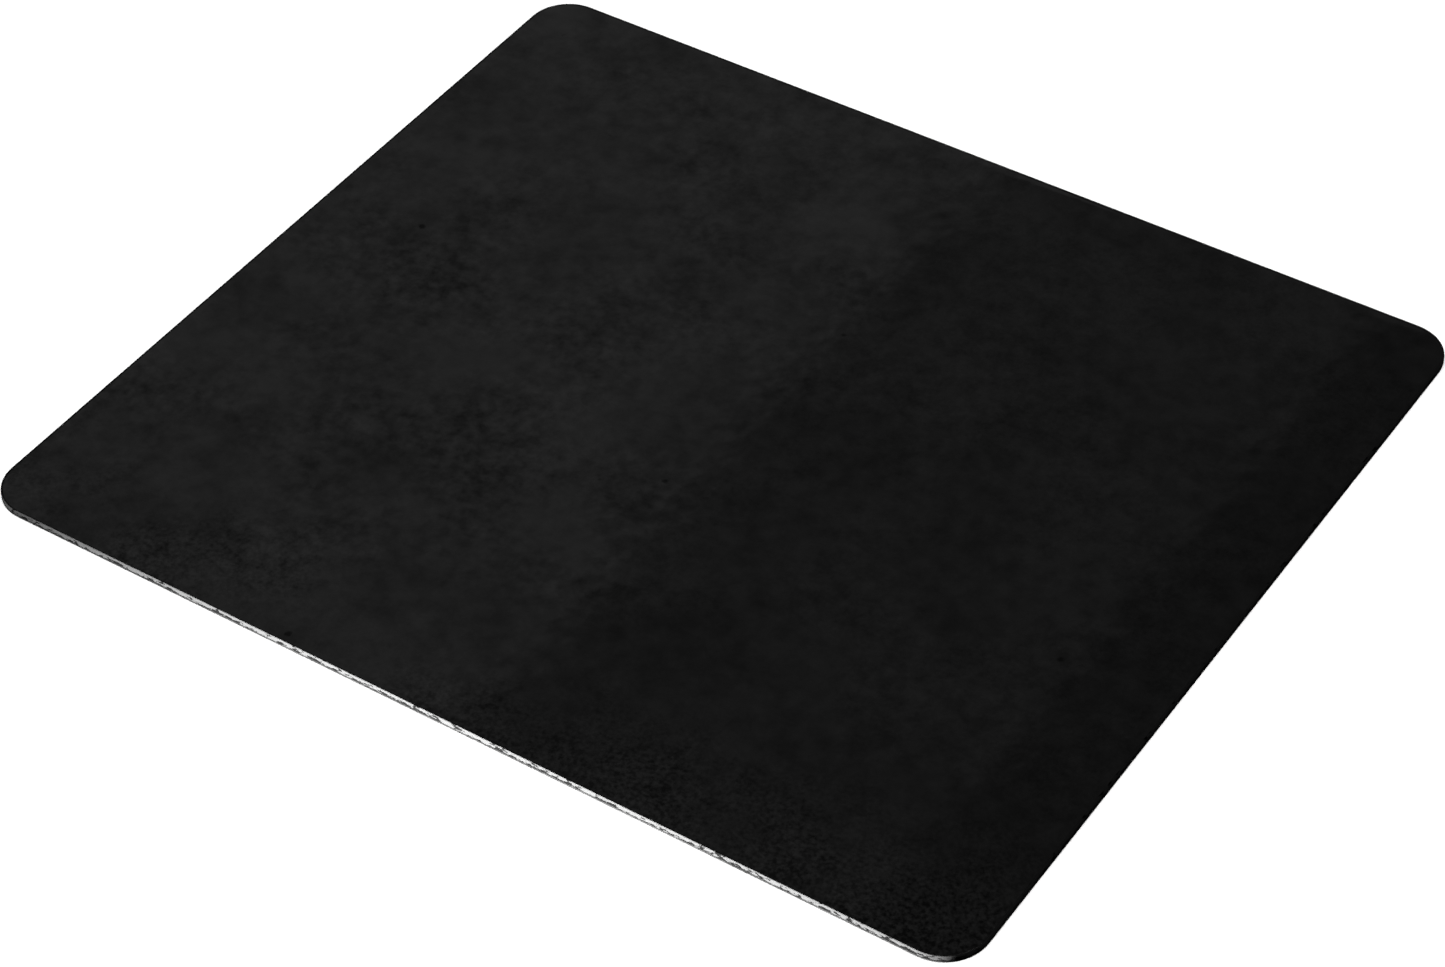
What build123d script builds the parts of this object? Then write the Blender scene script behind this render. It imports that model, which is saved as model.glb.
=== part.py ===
from build123d import *

import os

# A desk mat: thin sheets glued into one flat laminate, with its cut edge sealed by a coat of paint.
# X runs along the long side, Y along the short side and Z up. The origin is the centre of the
# underside, where the mat lies on the desk. Lengths are in millimetres.

# Outline of the whole mat
MAT_LENGTH = 230.0
MAT_WIDTH = 200.0
CORNER_RADIUS = 9.5

# Thickness of each sheet, from the desk up
BASE_THICKNESS = 0.45
LOWER_ADHESIVE_THICKNESS = 0.10
BOARD_THICKNESS = 0.40
UPPER_ADHESIVE_THICKNESS = 0.10
CLOTH_THICKNESS = 0.30
SKIN_THICKNESS = 0.25

# The paint on the cut edge, and how far the outer edges are rounded
COAT_THICKNESS = 0.30
COAT_EDGE_RADIUS = 0.20
BASE_EDGE_RADIUS = 0.15

# Outline of the sheets that the paint goes round
CORE_LENGTH = MAT_LENGTH - 2 * COAT_THICKNESS
CORE_WIDTH = MAT_WIDTH - 2 * COAT_THICKNESS
CORE_RADIUS = CORNER_RADIUS - COAT_THICKNESS

# The sheets that the paint goes round, in the order they are stacked on the base: the film that
# holds the board, the fibre board that keeps the mat flat, the film that holds the leatherette,
# and the leatherette's knitted carrier cloth and polyurethane skin
CORE_SHEETS = {
    "lower_adhesive": LOWER_ADHESIVE_THICKNESS,
    "stiffening_board": BOARD_THICKNESS,
    "upper_adhesive": UPPER_ADHESIVE_THICKNESS,
    "backing_cloth": CLOTH_THICKNESS,
    "surface_skin": SKIN_THICKNESS,
}
CORE_HEIGHT = sum(CORE_SHEETS.values())

os.makedirs("parts", exist_ok=True)

# Base sheet: non-slip rubber out to the full outline, its lower edge rounded off
with BuildPart() as base_sheet:
    with BuildSketch(Plane.XY):
        RectangleRounded(MAT_LENGTH, MAT_WIDTH, CORNER_RADIUS)
    extrude(amount=BASE_THICKNESS)
    underside = base_sheet.faces().sort_by(Axis.Z)[0]
    fillet(underside.edges(), radius=BASE_EDGE_RADIUS)
base_sheet.part.label = "base_sheet"
export_step(base_sheet.part, "parts/base_sheet.step")

# Core sheets: each lies flat on the one below
sheet_z = BASE_THICKNESS
for sheet_name, sheet_thickness in CORE_SHEETS.items():
    with BuildPart() as core_sheet:
        with BuildSketch(Plane.XY.offset(sheet_z)):
            RectangleRounded(CORE_LENGTH, CORE_WIDTH, CORE_RADIUS)
        extrude(amount=sheet_thickness)
    core_sheet.part.label = sheet_name
    export_step(core_sheet.part, f"parts/{sheet_name}.step")
    sheet_z += sheet_thickness

# Edge coat: paint round the cut edge of the core sheets, its outer edge rounded at the top
with BuildPart() as edge_coat:
    with BuildSketch(Plane.XY.offset(BASE_THICKNESS)):
        RectangleRounded(MAT_LENGTH, MAT_WIDTH, CORNER_RADIUS)
        RectangleRounded(CORE_LENGTH, CORE_WIDTH, CORE_RADIUS, mode=Mode.SUBTRACT)
    extrude(amount=CORE_HEIGHT)
    top_face = edge_coat.faces().sort_by(Axis.Z)[-1]
    fillet(top_face.outer_wire().edges(), radius=COAT_EDGE_RADIUS)
edge_coat.part.label = "edge_coat"
export_step(edge_coat.part, "parts/edge_coat.step")
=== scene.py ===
import math

import bpy
from mathutils import Matrix, Vector, noise


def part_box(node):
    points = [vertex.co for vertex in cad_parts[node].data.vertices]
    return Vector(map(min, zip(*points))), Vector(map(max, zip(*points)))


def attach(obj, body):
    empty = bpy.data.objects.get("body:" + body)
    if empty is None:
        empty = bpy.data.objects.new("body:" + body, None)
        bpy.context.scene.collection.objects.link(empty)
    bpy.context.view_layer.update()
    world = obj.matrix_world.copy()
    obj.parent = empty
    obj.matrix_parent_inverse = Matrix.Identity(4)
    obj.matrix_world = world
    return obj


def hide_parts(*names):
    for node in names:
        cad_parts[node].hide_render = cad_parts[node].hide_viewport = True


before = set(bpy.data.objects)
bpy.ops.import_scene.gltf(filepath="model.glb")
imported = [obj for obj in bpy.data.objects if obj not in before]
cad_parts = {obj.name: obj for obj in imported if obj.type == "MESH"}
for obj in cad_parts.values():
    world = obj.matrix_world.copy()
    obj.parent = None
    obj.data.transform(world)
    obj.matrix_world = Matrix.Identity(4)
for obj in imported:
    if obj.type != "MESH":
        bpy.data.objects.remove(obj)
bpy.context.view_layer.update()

# Desk mat on a white floor. Lengths are in metres, in the CAD model's frame: X along the mat's long
# side, Y along its short side, Z up from the desk.

MM = 0.001
BODY = "root"

# Outline and layer heights, from the CAD model
CORNER_RADIUS = 9.5 * MM
base_low, base_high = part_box("base_sheet")
skin_low, skin_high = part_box("surface_skin")
HALF_X = base_high.x
HALF_Y = base_high.y
COAT = base_high.x - skin_high.x
DESK_Z = base_low.z
BASE_TOP_Z = base_high.z
SKIN_LOW_Z = skin_low.z
SKIN_TOP_Z = skin_high.z

# How far the noise patterns are shifted, because noise looks like a star round its own origin
PATTERN_SHIFT = (0.61, 0.47, 0.23)


# ---------------------------------------------------------------- outline and grids

class Outline:
    """A rectangle with rounded corners, centred on the origin."""

    def __init__(self, half_x, half_y, radius):
        self.half_x = half_x
        self.half_y = half_y
        self.radius = radius

    def past_straight(self, x, y):
        """How far a point is past the start of the corner arcs, along each axis."""
        return abs(x) - (self.half_x - self.radius), abs(y) - (self.half_y - self.radius)

    def pull_in(self, x, y):
        """Moves a point of the full rectangle's grid so that the grid follows the round corners."""
        u, v = self.past_straight(x, y)
        if u <= 0 or v <= 0:
            return x, y
        pull = max(u, v) / math.hypot(u, v)
        near_x = self.half_x - self.radius + u * pull
        near_y = self.half_y - self.radius + v * pull
        return math.copysign(near_x, x), math.copysign(near_y, y)

    def depth(self, x, y):
        """Distance from a point inside to the outline."""
        u, v = self.past_straight(x, y)
        if u > 0 and v > 0:
            return self.radius - math.hypot(u, v)
        return self.radius - max(u, v)

    def normal(self, x, y):
        """Outward direction at a point of the outline."""
        u, v = self.past_straight(x, y)
        if u > 0 and v > 0:
            return Vector((math.copysign(u, x), math.copysign(v, y))).normalized()
        if u > v:
            return Vector((math.copysign(1, x), 0))
        return Vector((0, math.copysign(1, y)))

    def walk(self, step):
        """Points about step apart round the outline, with their outward directions."""
        straight_x = self.half_x - self.radius
        straight_y = self.half_y - self.radius
        arc = self.radius * math.pi / 2
        path = []
        # Each side runs anticlockwise from (x, y) along (dx, dy), then turns its corner
        sides = (
            ((self.half_x, -straight_y), (0, 1), 2 * straight_y),
            ((straight_x, self.half_y), (-1, 0), 2 * straight_x),
            ((-self.half_x, straight_y), (0, -1), 2 * straight_y),
            ((-straight_x, -self.half_y), (1, 0), 2 * straight_x),
        )
        for (x, y), (dx, dy), length in sides:
            start = Vector((x, y))
            along = Vector((dx, dy))
            outward = Vector((dy, -dx))
            count = round(length / step)
            for i in range(count):
                path.append((start + along * length * i / count, outward))
            centre = start + along * length - outward * self.radius
            count = round(arc / step)
            for i in range(count):
                turn = math.pi / 2 * i / count
                direction = outward * math.cos(turn) + along * math.sin(turn)
                path.append((centre + direction * self.radius, direction))
        return path


def grid_lines(half, step, rim):
    """Places of the grid lines from -half to half.

    They lie at the distances in rim from each end, and about step apart between those."""
    inner = half - rim[-1]
    count = round(2 * inner / step)
    middle = [-inner + 2 * inner * i / count for i in range(count + 1)]
    low = [-half + d for d in rim[:-1]]
    high = [half - d for d in reversed(rim[:-1])]
    return low + middle + high


def smoothstep(t):
    """Goes smoothly from 0 to 1 as t does."""
    t = min(max(t, 0.0), 1.0)
    return t * t * (3 - 2 * t)


def mesh_object(name, points, faces, sharp_angle=40):
    """A smooth-shaded mesh object, with its edges sharp past sharp_angle degrees."""
    mesh = bpy.data.meshes.new(name)
    mesh.from_pydata(points, [], faces)
    mesh.validate()
    mesh.shade_smooth()
    mesh.set_sharp_from_angle(angle=math.radians(sharp_angle))
    piece = bpy.data.objects.new(name, mesh)
    bpy.context.scene.collection.objects.link(piece)
    return piece


def sheet_piece(name, outline, step, rim, face_z, wall, facing):
    """A closed sheet with one detailed face and one flat face.

    face_z(x, y, depth) is the detailed face's height, wall lists (inset, height) from that face to
    the flat one, and facing is 1 where the detailed face looks up and -1 where it looks down."""
    xs = grid_lines(outline.half_x, step, rim)
    ys = grid_lines(outline.half_y, step, rim)
    points = []
    for grid_y in ys:
        for grid_x in xs:
            x, y = outline.pull_in(grid_x, grid_y)
            points.append((x, y, face_z(x, y, max(outline.depth(x, y), 0.0))))
    columns, rows = len(xs), len(ys)
    faces = []
    for j in range(rows - 1):
        for i in range(columns - 1):
            corner = j * columns + i
            faces.append((corner, corner + 1, corner + 1 + columns, corner + columns))
    # The wall starts from the points on the face's border
    front = list(range(columns - 1))
    right = [j * columns + columns - 1 for j in range(rows - 1)]
    back = [(rows - 1) * columns + i for i in range(columns - 1, 0, -1)]
    left = [j * columns for j in range(rows - 1, 0, -1)]
    loop = front + right + back + left
    border = [(Vector(points[i][:2]), outline.normal(*points[i][:2])) for i in loop]
    for inset, z in wall:
        ring = []
        for at, outward in border:
            moved = at - outward * inset
            ring.append(len(points))
            points.append((moved.x, moved.y, z))
        for i in range(len(loop)):
            after = (i + 1) % len(loop)
            faces.append((loop[i], ring[i], ring[after], loop[after]))
        loop = ring
    faces.append(tuple(reversed(loop)))
    if facing < 0:
        faces = [tuple(reversed(face)) for face in faces]
    return mesh_object(name, points, faces)


# ---------------------------------------------------------------- pieces

# Working surface: how far it dips at the rim, and the height of its waves, swells and pebbles
RIM_DIP = 0.11 * MM
RIM_DIP_WIDTH = 1.6 * MM
SKIN_STEP = 0.75 * MM
SKIN_RIM = [0.0, 0.2 * MM, 0.45 * MM, 0.75 * MM, 1.1 * MM, 1.6 * MM]
WAVE_LENGTH, WAVE_HEIGHT = 55 * MM, 0.05 * MM
SWELL_LENGTH, SWELL_HEIGHT = 12 * MM, 0.022 * MM
PEBBLE_LENGTH, PEBBLE_HEIGHT = 3.6 * MM, 0.018 * MM
PEBBLE_DIMENSION, PEBBLE_LACUNARITY, PEBBLE_OCTAVES = 0.9, 2.1, 2


def rim_dip(depth):
    """How far the skin dips at some distance from its edge."""
    return RIM_DIP * (1 - smoothstep(depth / RIM_DIP_WIDTH))


def skin_relief(x, y):
    """Depth of the skin below its highest level, from the relief that pressing leaves in it."""
    at = Vector((x, y, 0.0)) + Vector(PATTERN_SHIFT)
    wave = noise.noise(at / WAVE_LENGTH)
    swell = noise.noise(at / SWELL_LENGTH)
    pebble = noise.fractal(
        at / PEBBLE_LENGTH, PEBBLE_DIMENSION, PEBBLE_LACUNARITY, PEBBLE_OCTAVES
    )
    return (
        WAVE_HEIGHT * (0.5 - 0.5 * wave)
        + SWELL_HEIGHT * (0.5 - 0.5 * swell)
        + PEBBLE_HEIGHT * (0.5 - 0.5 * pebble)
    )


def skin_z(x, y, depth):
    """Height of the working surface."""
    settled = smoothstep(depth / RIM_DIP_WIDTH)
    return SKIN_TOP_Z - rim_dip(depth) - settled * skin_relief(x, y)


def make_surface_skin():
    outline = Outline(HALF_X - COAT, HALF_Y - COAT, CORNER_RADIUS - COAT)
    piece = sheet_piece(
        "skin", outline, SKIN_STEP, SKIN_RIM, skin_z, [(0.0, SKIN_LOW_Z)], facing=1
    )
    return piece


# Base: a lattice of ribs that stands on the desk, with shallow cells between, inside a plain border
GRIP_STEP = 1.0 * MM
GRIP_RIM = [0.0, 0.7 * MM]
GRIP_PITCH = 3.0 * MM
GRIP_DEPTH = 0.15 * MM
GRIP_CELL_SLOPE = 0.6
GRIP_BORDER, GRIP_BORDER_FADE = 4.0 * MM, 0.7 * MM
BASE_EDGE_RADIUS = 0.15 * MM
BASE_EDGE_TURNS = [math.radians(a) for a in (30, 60, 90)]


def grip_z(x, y, depth):
    """Height of the underside."""
    along = math.cos(2 * math.pi * x / GRIP_PITCH)
    across = math.cos(2 * math.pi * y / GRIP_PITCH)
    cell = smoothstep(0.5 + GRIP_CELL_SLOPE * (along + across) / 2)
    inside = smoothstep((depth - GRIP_BORDER) / GRIP_BORDER_FADE)
    return DESK_Z + GRIP_DEPTH * cell * inside


def make_base_sheet():
    r = BASE_EDGE_RADIUS
    # The face is the flat underside inside the rounded edge, so the wall steps outwards from it
    underside = Outline(HALF_X - r, HALF_Y - r, CORNER_RADIUS - r)
    edge = [(-r * math.sin(a), DESK_Z + r * (1 - math.cos(a))) for a in BASE_EDGE_TURNS]
    wall = edge + [(-r, BASE_TOP_Z)]
    return sheet_piece("base", underside, GRIP_STEP, GRIP_RIM, grip_z, wall, facing=-1)


# Edge coat: a low dome of paint that laps a little over the skin
COAT_STEP = 0.35 * MM
COAT_BULGE = 0.05 * MM
COAT_SHOULDER = 0.20 * MM
SHOULDER_INSET = 0.3 * COAT_BULGE
SHOULDER_TURNS = [math.radians(a) for a in (20, 40, 60, 80)]
COAT_LAP = 0.15 * MM
LAP_UNEVEN = 0.03 * MM
LAP_EDGE = 0.004 * MM
LAP_CROWN = 0.35
LAP_SHIFT = Vector((7, 3, 1))
COAT_LUMP_LENGTH, COAT_LUMP = 3.0 * MM, 0.02 * MM
COAT_GRAIN_LENGTH, COAT_GRAIN = 0.7 * MM, 0.006 * MM
# Heights of the points up the coat's face, from -1 at the base to 1 at the working surface
FACE_HEIGHTS = (-0.85, -0.6, -0.3, 0.0, 0.3, 0.55)


def coat_face():
    """(inset, height) up the coat's outer face, from just above the base over its shoulder."""
    mid_z = (BASE_TOP_Z + SKIN_TOP_Z) / 2
    half = (SKIN_TOP_Z - BASE_TOP_Z) / 2
    dome = [(COAT_BULGE * t * t, mid_z + half * t) for t in FACE_HEIGHTS]
    centre_z = SKIN_TOP_Z - COAT_SHOULDER
    shoulder = [
        (SHOULDER_INSET + COAT_SHOULDER * (1 - math.cos(a)), centre_z + COAT_SHOULDER * math.sin(a))
        for a in SHOULDER_TURNS
    ]
    return dome + shoulder


def coat_lap(lap):
    """(inset, height) from the coat's shoulder over the skin to the lap's edge, and back under it."""
    middle = 0.5 * lap
    edge_z = SKIN_TOP_Z - rim_dip(lap)
    return [
        (COAT + middle, SKIN_TOP_Z - LAP_CROWN * rim_dip(middle)),
        (COAT + lap, edge_z + LAP_EDGE),
        (COAT + lap, edge_z - LAP_EDGE),
        (COAT, SKIN_TOP_Z - RIM_DIP),
    ]


def coat_section(at, face):
    """(inset, height) round the coat's section at a point of the outline."""
    section = [(COAT, BASE_TOP_Z), (COAT_BULGE, BASE_TOP_Z)]
    for inset, z in face:
        spot = Vector((at.x, at.y, z))
        lump = COAT_LUMP * noise.noise(spot / COAT_LUMP_LENGTH)
        grain = COAT_GRAIN * noise.noise(spot / COAT_GRAIN_LENGTH)
        section.append((max(inset + lump + grain, 0.0), z))
    drawn = noise.noise(at.to_3d() / COAT_LUMP_LENGTH + LAP_SHIFT)
    return section + coat_lap(COAT_LAP + LAP_UNEVEN * drawn)


def make_edge_coat():
    stations = Outline(HALF_X, HALF_Y, CORNER_RADIUS).walk(COAT_STEP)
    face = coat_face()
    points = []
    for at, outward in stations:
        section = coat_section(at, face)
        for inset, z in section:
            moved = at - outward * inset
            points.append((moved.x, moved.y, z))
    size = len(section)
    faces = []
    for s in range(len(stations)):
        here = s * size
        there = (s + 1) % len(stations) * size
        for k in range(size):
            k_after = (k + 1) % size
            faces.append((here + k, there + k, there + k_after, here + k_after))
    return mesh_object("rim_paint", points, faces)


# ---------------------------------------------------------------- materials

class Nodes:
    """Short ways to add nodes to a node tree."""

    def __init__(self, tree):
        self.tree = tree

    def add(self, kind, **inputs):
        """A new node. Each input is a number, a colour or another node's output."""
        node = self.tree.nodes.new(kind)
        for name, given in inputs.items():
            self.give(node.inputs[name.replace("_", " ")], given)
        return node

    def give(self, socket, given):
        if isinstance(given, bpy.types.NodeSocket):
            self.tree.links.new(given, socket)
        else:
            socket.default_value = given

    def spread(self, value, low, high, from_low=0.3, from_high=0.7):
        """Maps value from (from_low, from_high) to (low, high)."""
        node = self.add(
            "ShaderNodeMapRange",
            Value=value,
            From_Min=from_low,
            From_Max=from_high,
            To_Min=low,
            To_Max=high,
        )
        return node.outputs["Result"]

    def maths(self, operation, a, b):
        node = self.add("ShaderNodeMath")
        node.operation = operation
        self.give(node.inputs[0], a)
        self.give(node.inputs[1], b)
        return node.outputs[0]


class Finish(Nodes):
    """A material made of procedural nodes, laid out in the CAD model's frame."""

    def __init__(self, name):
        self.material = bpy.data.materials.new(name)
        self.material.use_nodes = True
        super().__init__(self.material.node_tree)
        self.shader = self.tree.nodes["Principled BSDF"]
        self.place = self.add("ShaderNodeTexCoord").outputs["Object"]
        self.pattern = self.stretched(1, 1, 1)

    def set(self, **inputs):
        """Sets or drives the shader's own inputs."""
        for name, given in inputs.items():
            self.give(self.shader.inputs[name.replace("_", " ")], given)

    def stretched(self, x, y, z):
        """Places for patterns whose features come out x, y and z times as long."""
        node = self.add(
            "ShaderNodeMapping",
            Vector=self.place,
            Scale=(1 / x, 1 / y, 1 / z),
            Location=PATTERN_SHIFT,
        )
        return node.outputs["Vector"]

    def noise(self, length, detail=4.0, roughness=0.55, pattern=None):
        """Noise whose features are about length metres across."""
        node = self.add(
            "ShaderNodeTexNoise",
            Vector=pattern or self.pattern,
            Scale=1 / length,
            Detail=detail,
            Roughness=roughness,
        )
        return node.outputs["Fac"]

    def spots(self, pitch):
        """Distance from scattered points about pitch metres apart, in pitches."""
        node = self.add("ShaderNodeTexVoronoi", Vector=self.pattern, Scale=1 / pitch)
        return node.outputs["Distance"]

    def blend(self, factor, dark, light):
        """A colour between dark and light."""
        node = self.add("ShaderNodeMix")
        node.data_type = "RGBA"
        # Sockets 0, 6 and 7 are the factor and the two colours, and output 2 is the colour
        for socket, given in ((0, factor), (6, (*dark, 1)), (7, (*light, 1))):
            self.give(node.inputs[socket], given)
        return node.outputs[2]

    def axis(self, name):
        """Place along X, Y or Z, in metres."""
        return self.add("ShaderNodeSeparateXYZ", Vector=self.place).outputs[name]

    def bump(self, relief, depth):
        """A normal from relief that is depth metres deep."""
        node = self.add("ShaderNodeBump", Height=relief, Distance=depth, Strength=1.0)
        return node.outputs["Normal"]


def grey(value):
    return (value, value, value)


# Width of the band along the front edge where the grain's specks are painted stronger, as painted
# glints of light on the grain
GRAIN_GLINT_WIDTH = 35 * MM


def leatherette():
    finish = Finish("black_leatherette")
    drift = finish.noise(26 * MM, 3, 0.5)
    mottle = finish.noise(5 * MM, 4, 0.6)
    pebble = finish.noise(2.3 * MM, 2, 0.5)
    grain = finish.noise(0.9 * MM, 2, 0.6)
    patch = finish.noise(30 * MM, 2, 0.5)
    # Grain specks in the colour are painted stronger in patches along the front edge: the grain is
    # real, and its stronger specks there are painted glints
    near_front = finish.spread(finish.axis("Y"), 1.0, 0.15, -HALF_Y, -HALF_Y + GRAIN_GLINT_WIDTH)
    grain_glint_mask = finish.maths("MULTIPLY", near_front, finish.spread(patch, 0.2, 1.0, 0.4, 0.6))
    grain_and_glint_specks = finish.maths("MULTIPLY", finish.spread(grain, -0.6, 0.6), grain_glint_mask)
    # Pebbles show in patches too, and fade over the far half
    near_half = finish.spread(finish.axis("Y"), 1.0, 0.3, 0.0, HALF_Y)
    clear = finish.maths("MULTIPLY", finish.spread(patch, 0.15, 1.0, 0.38, 0.64), near_half)
    pebbly = finish.maths("MULTIPLY", finish.spread(pebble, -0.32, 0.32), clear)
    tone = finish.maths("ADD", finish.spread(mottle, 0.22, 0.48), grain_and_glint_specks)
    cloud = finish.maths("ADD", drift, finish.maths("MULTIPLY", mottle, 0.5))
    shine = finish.maths("ADD", finish.spread(cloud, 0.5, 0.9, 0.6, 0.9), pebbly)
    # Here and there a pit, which is dark and has little sheen
    pit = finish.maths("ADD", finish.spots(17 * MM), finish.spread(grain, 0.03, 0.0))
    unpitted = finish.spread(pit, 0.3, 1.0, 0.04, 0.07)
    lightness = finish.maths("MULTIPLY", tone, unpitted)
    finish.set(
        Base_Color=finish.blend(lightness, grey(0.0012), grey(0.0083)),
        Roughness=finish.spread(mottle, 0.62, 0.5),
        Specular_IOR_Level=0.03,
        Coat_Weight=finish.maths("MULTIPLY", shine, unpitted),
        Coat_Roughness=0.06,
        Coat_IOR=1.5,
        Normal=finish.bump(grain, 0.008 * MM),
    )
    return finish.material


def edge_paint():
    finish = Finish("black_edge_paint")
    fibre = finish.noise(0.65 * MM, 2, 0.6, finish.stretched(2.5, 2.5, 1))
    patch = finish.noise(45 * MM, 2, 0.5)
    # Dark flecks show where the paint is thin. They are painted more often lower down the edge, which
    # is painted shade where the edge meets the base.
    shade_low_down = finish.spread(finish.axis("Z"), 0.09, -0.09, BASE_TOP_Z, SKIN_TOP_Z - 0.1 * MM)
    covered = finish.spread(patch, 0.0, 0.07, 0.45, 0.6)
    cover = finish.maths("ADD", finish.maths("SUBTRACT", fibre, shade_low_down), covered)
    finish.set(
        Base_Color=finish.blend(finish.spread(cover, 0, 1, 0.45, 0.52), grey(0.0004), grey(0.004)),
        Roughness=finish.spread(fibre, 0.8, 0.55),
        Specular_IOR_Level=0.0,
        Normal=finish.bump(finish.noise(0.6 * MM, 3, 0.6), 0.01 * MM),
    )
    return finish.material


def rubber():
    finish = Finish("black_rubber")
    bloom = finish.noise(20 * MM, 4, 0.6)
    crumb = finish.noise(1.2 * MM, 4, 0.65)
    tone = finish.spread(finish.maths("ADD", bloom, crumb), 0.2, 0.8, 0.8, 1.2)
    finish.set(
        Base_Color=finish.blend(tone, grey(0.0005), grey(0.0022)),
        Roughness=finish.spread(bloom, 0.7, 0.85),
        Specular_IOR_Level=0.0,
        Normal=finish.bump(crumb, 0.02 * MM),
    )
    return finish.material


def adhesive_film():
    finish = Finish("adhesive_film")
    wet = finish.noise(9 * MM, 4, 0.6)
    wrinkle = finish.noise(2 * MM, 3, 0.5, finish.stretched(5, 1, 1))
    finish.set(
        Base_Color=finish.blend(finish.spread(wet, 0, 1), (0.62, 0.56, 0.42), (0.80, 0.77, 0.66)),
        Roughness=finish.spread(wet, 0.15, 0.4),
        Specular_IOR_Level=0.5,
        Normal=finish.bump(wrinkle, 0.02 * MM),
    )
    return finish.material


def fibre_board():
    finish = Finish("fibre_board")
    strand = finish.noise(0.8 * MM, 4, 0.65, finish.stretched(4, 1, 1))
    stain = finish.noise(15 * MM, 3, 0.5)
    tone = finish.spread(finish.maths("ADD", strand, stain), 0, 1, 0.7, 1.3)
    finish.set(
        Base_Color=finish.blend(tone, (0.10, 0.065, 0.04), (0.24, 0.17, 0.11)),
        Roughness=finish.spread(stain, 0.75, 0.95),
        Specular_IOR_Level=0.2,
        Normal=finish.bump(strand, 0.05 * MM),
    )
    return finish.material


# A wave texture of scale 1 repeats every 0.314 metres
WAVE_PERIOD = 0.314


def knitted_cloth():
    finish = Finish("knitted_cloth")
    ribs = []
    for direction, pitch in (("X", 1.1 * MM), ("Y", 0.8 * MM)):
        wave = finish.add(
            "ShaderNodeTexWave", Vector=finish.place, Scale=WAVE_PERIOD / pitch, Distortion=1.0
        )
        wave.bands_direction = direction
        wave.wave_profile = "SIN"
        ribs.append(wave.outputs["Fac"])
    loop = finish.maths("MULTIPLY", *ribs)
    fuzz = finish.noise(0.3 * MM, 3, 0.6)
    tone = finish.maths("ADD", loop, finish.maths("MULTIPLY", fuzz, 0.4))
    finish.set(
        Base_Color=finish.blend(finish.spread(tone, 0, 1, 0.1, 1.1), grey(0.015), grey(0.07)),
        Roughness=finish.spread(fuzz, 0.85, 1.0),
        Specular_IOR_Level=0.15,
        Normal=finish.bump(loop, 0.15 * MM),
    )
    return finish.material


def white_floor():
    finish = Finish("white_floor")
    finish.set(Base_Color=(0.9, 0.9, 0.9, 1), Roughness=0.8, Specular_IOR_Level=0.1)
    return finish.material


# ---------------------------------------------------------------- the mat

skin = make_surface_skin()
base = make_base_sheet()
rim = make_edge_coat()
for piece, node, slot_name, material in (
    (skin, "surface_skin", "black_leatherette", leatherette()),
    (base, "base_sheet", "black_rubber", rubber()),
    (rim, "edge_coat", "black_edge_paint", edge_paint()),
):
    piece.data.materials.append(material)
    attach(piece, BODY)
    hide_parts(node)

# The sheets sealed inside are shown as the CAD model has them
film = adhesive_film()
for node, material in (
    ("lower_adhesive", film),
    ("stiffening_board", fibre_board()),
    ("upper_adhesive", film),
    ("backing_cloth", knitted_cloth()),
):
    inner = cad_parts[node]
    if not inner.material_slots:
        inner.data.materials.append(None)
    inner.material_slots[0].link = "OBJECT"
    inner.material_slots[0].material = material


# ---------------------------------------------------------------- camera

CAMERA_AZIMUTH = math.radians(34.82)
CAMERA_ELEVATION = math.radians(43.18)
CAMERA_ROLL = math.radians(-1.72)
CAMERA_DISTANCE = 0.7745
CAMERA_AIM = Vector((0.0085, -0.01625, 0.0))
SENSOR_MM = 36.0
LENS_MM = 95.94

back = Vector((
    math.sin(CAMERA_AZIMUTH) * math.cos(CAMERA_ELEVATION),
    -math.cos(CAMERA_AZIMUTH) * math.cos(CAMERA_ELEVATION),
    math.sin(CAMERA_ELEVATION),
))
level_right = Vector((0, 0, 1)).cross(back).normalized()
right = Matrix.Rotation(CAMERA_ROLL, 3, back) @ level_right
camera_data = bpy.data.cameras.new("camera")
camera_data.sensor_width = SENSOR_MM
camera_data.lens = LENS_MM
camera = bpy.data.objects.new("camera", camera_data)
axes = Matrix((right, back.cross(right), back)).transposed()
camera.matrix_world = Matrix.Translation(CAMERA_AIM + back * CAMERA_DISTANCE) @ axes.to_4x4()
bpy.context.scene.collection.objects.link(camera)
bpy.context.scene.camera = camera


# ---------------------------------------------------------------- lights

def aimed_light(name, kind, at, aim, energy):
    """A light at one point that shines at another."""
    data = bpy.data.lights.new(name, kind)
    data.energy = energy
    light = bpy.data.objects.new(name, data)
    turn = (Vector(aim) - Vector(at)).to_track_quat("-Z", "Y").to_matrix()
    light.matrix_world = Matrix.Translation(at) @ turn.to_4x4()
    bpy.context.scene.collection.objects.link(light)
    return light


# Key: soft light from above, a little to the front right, which no surface mirrors
KEY_AT = (0.35, -0.55, 2.0)
KEY_ENERGY = 3.8
KEY_ANGLE = math.radians(50)
key = aimed_light("key", "SUN", KEY_AT, (0, 0, 0), KEY_ENERGY)
key.data.angle = KEY_ANGLE
key.visible_glossy = False

# Panels: two dim overhead panels side by side, which the working surface mirrors. The brighter one
# ends where it is mirrored along the middle of the mat, and the fainter one near the right side.
PANEL_Z = 1.0
PANEL_LOW_Y, PANEL_HIGH_Y = 0.42, 1.6
for name, low_x, high_x, energy in (
    ("bright_panel", -1.515, -0.615, 0.62),
    ("faint_panel", -0.615, -0.35, 0.06),
):
    middle = ((low_x + high_x) / 2, (PANEL_LOW_Y + PANEL_HIGH_Y) / 2)
    panel = aimed_light(name, "AREA", (*middle, PANEL_Z), (*middle, 0), energy)
    panel.data.shape = "RECTANGLE"
    panel.data.size = high_x - low_x
    panel.data.size_y = PANEL_HIGH_Y - PANEL_LOW_Y

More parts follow.
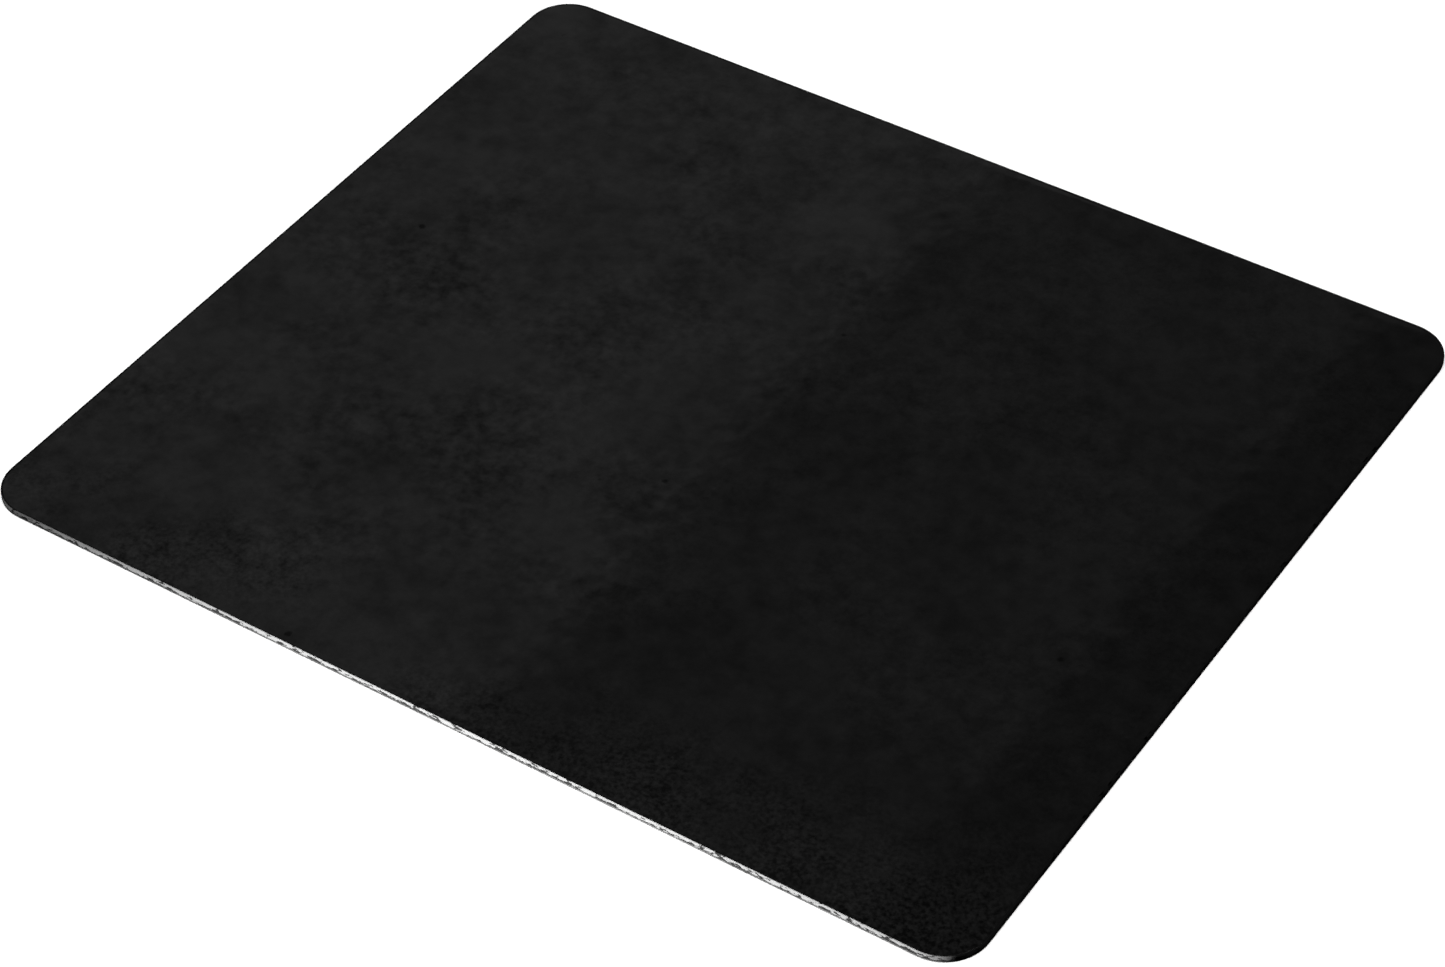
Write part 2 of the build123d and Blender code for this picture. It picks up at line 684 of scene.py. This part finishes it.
# Strip: light from the front left that skims the desk, lower than the working surface, for the
# painted edge and the base alone
STRIP_ANGLE = math.radians(45)
STRIP_DISTANCE = 0.45
STRIP_LENGTH, STRIP_HEIGHT = 0.140, 1.2 * MM
STRIP_AIM = Vector((0.036, -HALF_Y, STRIP_HEIGHT / 2))
STRIP_ENERGY = 9.2
STRIP_SPREAD = math.radians(16)
strip_back = Vector((-math.sin(STRIP_ANGLE), -math.cos(STRIP_ANGLE), 0))
strip_at = STRIP_AIM + STRIP_DISTANCE * strip_back
strip = aimed_light("strip", "AREA", strip_at, STRIP_AIM, STRIP_ENERGY)
strip.data.shape = "RECTANGLE"
strip.data.size, strip.data.size_y = STRIP_LENGTH, STRIP_HEIGHT
strip.data.spread = STRIP_SPREAD
lit = bpy.data.collections.new("lit_by_strip")
lit.objects.link(rim)
lit.objects.link(base)
strip.light_linking.receiver_collection = lit


# ---------------------------------------------------------------- floor and world

FLOOR_HALF = 6.0
FLOOR_GAP = 0.02 * MM
floor_corners = [
    (FLOOR_HALF * x, FLOOR_HALF * y, DESK_Z - FLOOR_GAP)
    for x, y in ((-1, -1), (1, -1), (1, 1), (-1, 1))
]
floor = mesh_object("floor", floor_corners, [(0, 1, 2, 3)])
floor.data.materials.append(white_floor())


def elevations(low, high):
    """The upward part of a direction at each of two elevations, in degrees."""
    return math.sin(math.radians(low)), math.sin(math.radians(high))


# World: white to the camera. To the mat it is nearly dark, with a faint glow round the horizon and
# another straight overhead, which give the leatherette a sheen in low views and from above.
DARK, HORIZON, OVERHEAD = 0.02, 0.10, 0.35
world = bpy.data.worlds.new("world")
world.use_nodes = True
bpy.context.scene.world = world
sky = Nodes(world.node_tree)
direction = sky.add("ShaderNodeTexCoord").outputs["Generated"]
up = sky.add("ShaderNodeSeparateXYZ", Vector=direction).outputs["Z"]
horizon_glow = sky.spread(up, HORIZON, DARK, *elevations(18, 30))
overhead_glow = sky.spread(up, DARK, OVERHEAD, *elevations(60, 90))
glow = sky.maths("MAXIMUM", horizon_glow, overhead_glow)
to_camera = sky.add("ShaderNodeLightPath").outputs["Is Camera Ray"]
brightness = sky.maths("MAXIMUM", glow, to_camera)
sky.give(sky.tree.nodes["Background"].inputs["Color"], brightness)

bpy.context.scene.view_settings.view_transform = "Standard"
